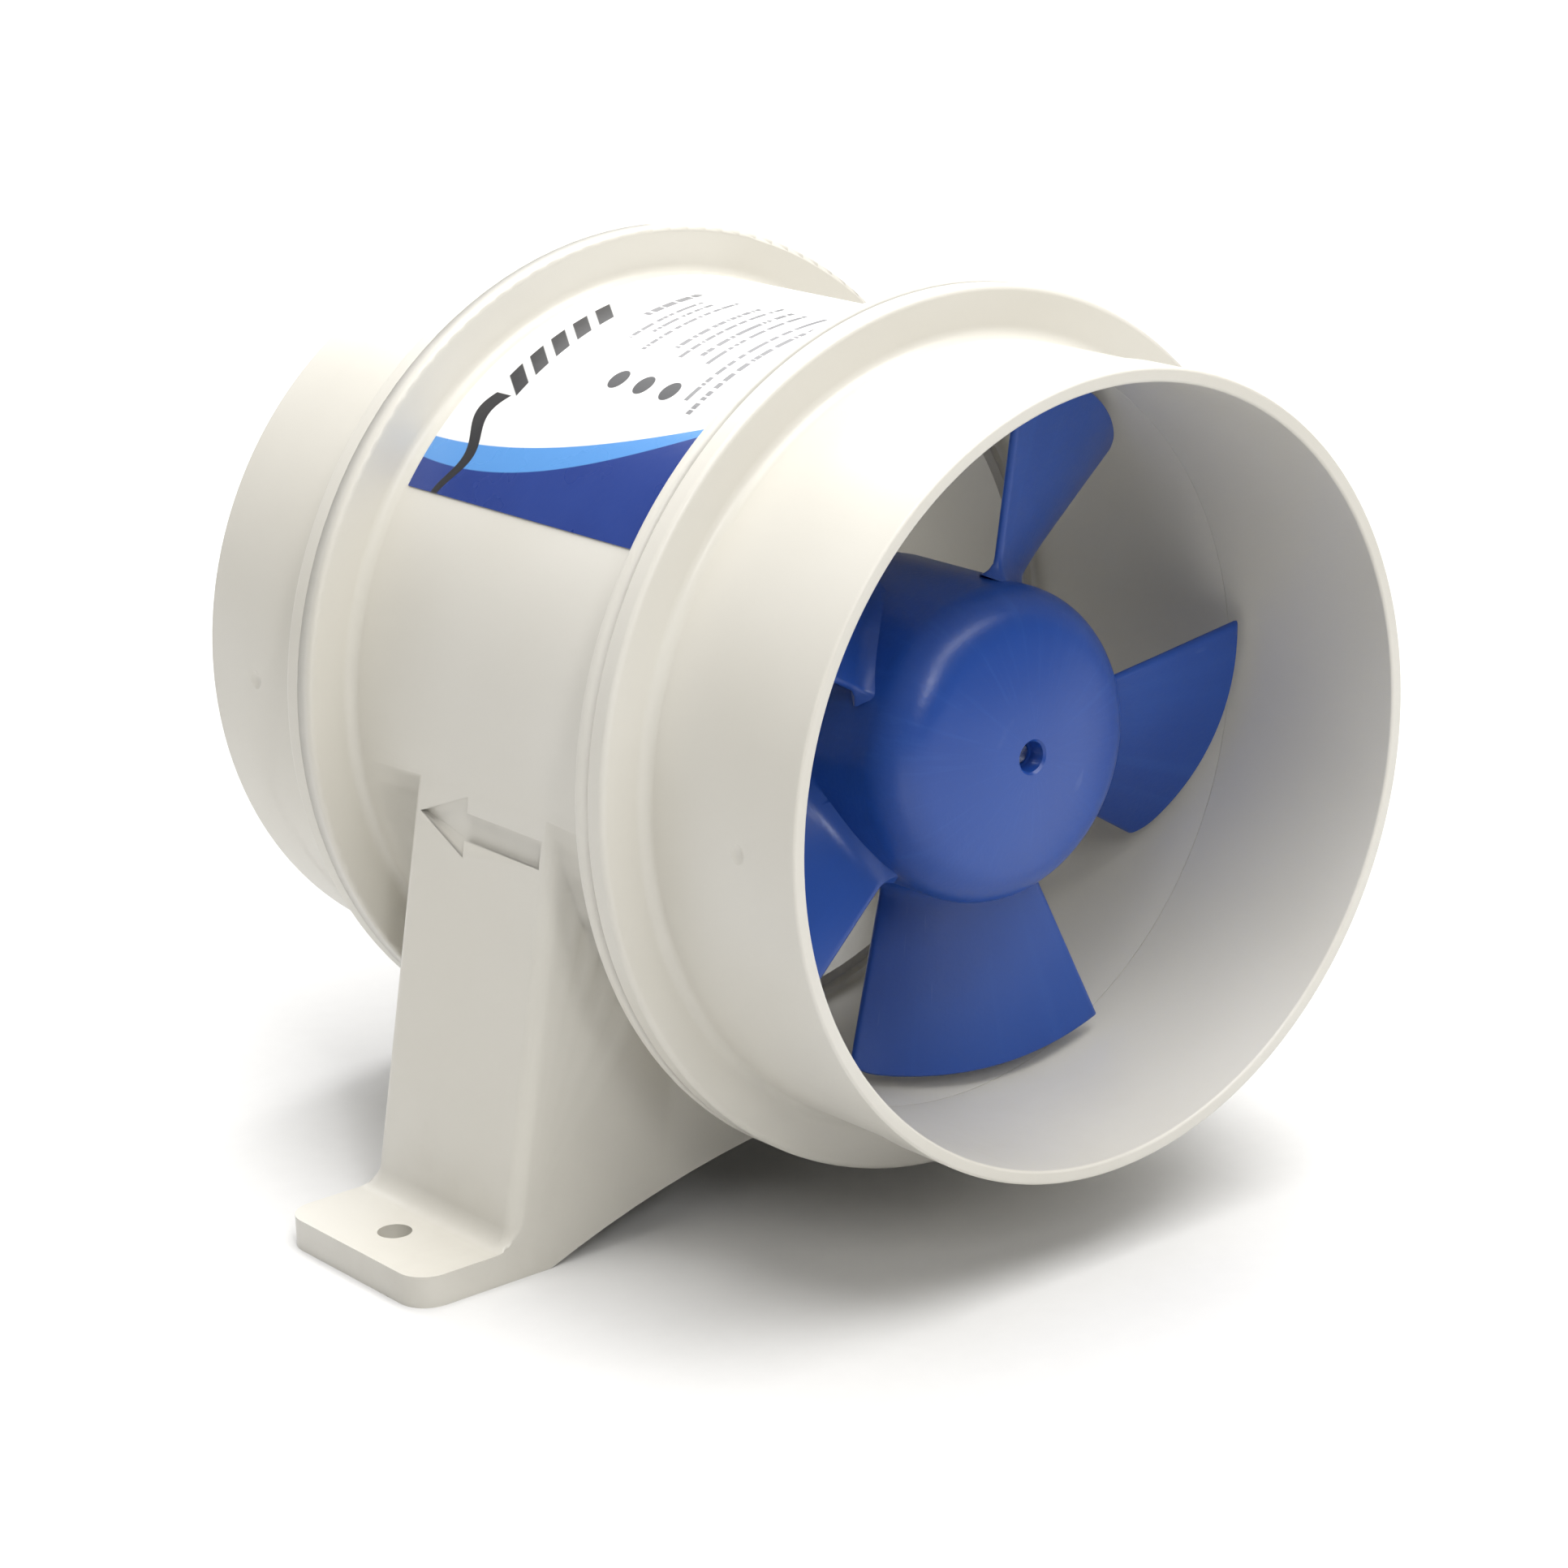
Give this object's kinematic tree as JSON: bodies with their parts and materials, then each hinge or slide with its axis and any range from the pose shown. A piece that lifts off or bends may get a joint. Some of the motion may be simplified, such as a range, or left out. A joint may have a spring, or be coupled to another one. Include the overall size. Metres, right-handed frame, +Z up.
{
  "type": "inline duct fan",
  "caption": "Small in-line axial duct blower with hose spigots at both ends, a pedestal with bolt-down feet and a bladed impeller driven by a motor on the duct's axis.",
  "frame": {"origin": "centre of the base plane that the two feet stand on, under the duct's axis at mid-length", "axes": "+Z up, +Y along the duct the way the air goes, +X to the right seen from the inlet"},
  "size_m": [0.149, 0.125, 0.1207],
  "materials": {
    "white_plastic": "satin moulded ABS",
    "blue_plastic": "satin moulded nylon",
    "dark_plastic": "matt moulded nylon",
    "nylon": "natural nylon",
    "steel_case": "zinc plated, deep drawn",
    "spring_steel": "blued spring steel",
    "lamination": "laminated electrical steel",
    "screw_steel": "zinc plated",
    "sintered_bronze": "oiled sintered bronze",
    "brass": "bright rolled brass",
    "copper": "enamelled copper wire",
    "ferrite": "ground ferrite",
    "carbon": "pressed carbon",
    "ceramic": "dipped ceramic",
    "rubber": "moulded rubber",
    "label_film": "printed vinyl film"
  },
  "bodies": {
    "housing": {"barrel_housing": "white_plastic", "inlet_collar": "white_plastic", "outlet_collar": "white_plastic", "motor_cradle": "white_plastic", "motor_cover": "white_plastic", "cable_grommet": "rubber", "maker_label": "label_film", "motor_can": "steel_case", "motor_end_cap": "dark_plastic", "front_bush": "sintered_bronze", "rear_bush": "sintered_bronze", "magnet_left": "ferrite", "magnet_right": "ferrite", "magnet_spring": "spring_steel", "brush_holder_left": "brass", "brush_holder_right": "brass", "brush_spring_left": "spring_steel", "brush_spring_right": "spring_steel", "terminal_left": "brass", "terminal_right": "brass", "suppressor": "ceramic", "motor_screws": "screw_steel"},
    "rotor": {"impeller": "blue_plastic", "motor_shaft": "screw_steel", "armature_core": "lamination", "armature_windings": "copper", "commutator": "copper", "front_thrust_washer": "nylon", "rear_thrust_washer": "nylon"},
    "left_brush": {"brush_left": "carbon"},
    "right_brush": {"brush_right": "carbon"}
  },
  "joints": [
    {"name": "rotor_spin", "type": "hinge", "parent": "housing", "child": "rotor", "pos_m": [0, 0, 0.0634], "axis": [0, -1, 0], "continuous": true},
    {"name": "brush_left_slide", "type": "slide", "parent": "housing", "child": "left_brush", "axis": [-1, 0, 0], "range_m": [0, 0.002], "stiffness_N_per_m": 120, "springref_m": -0.004, "deforming": ["brush_spring_left"]},
    {"name": "brush_right_slide", "type": "slide", "parent": "housing", "child": "right_brush", "axis": [1, 0, 0], "range_m": [0, 0.002], "stiffness_N_per_m": 120, "springref_m": -0.004, "deforming": ["brush_spring_right"]}
  ]
}
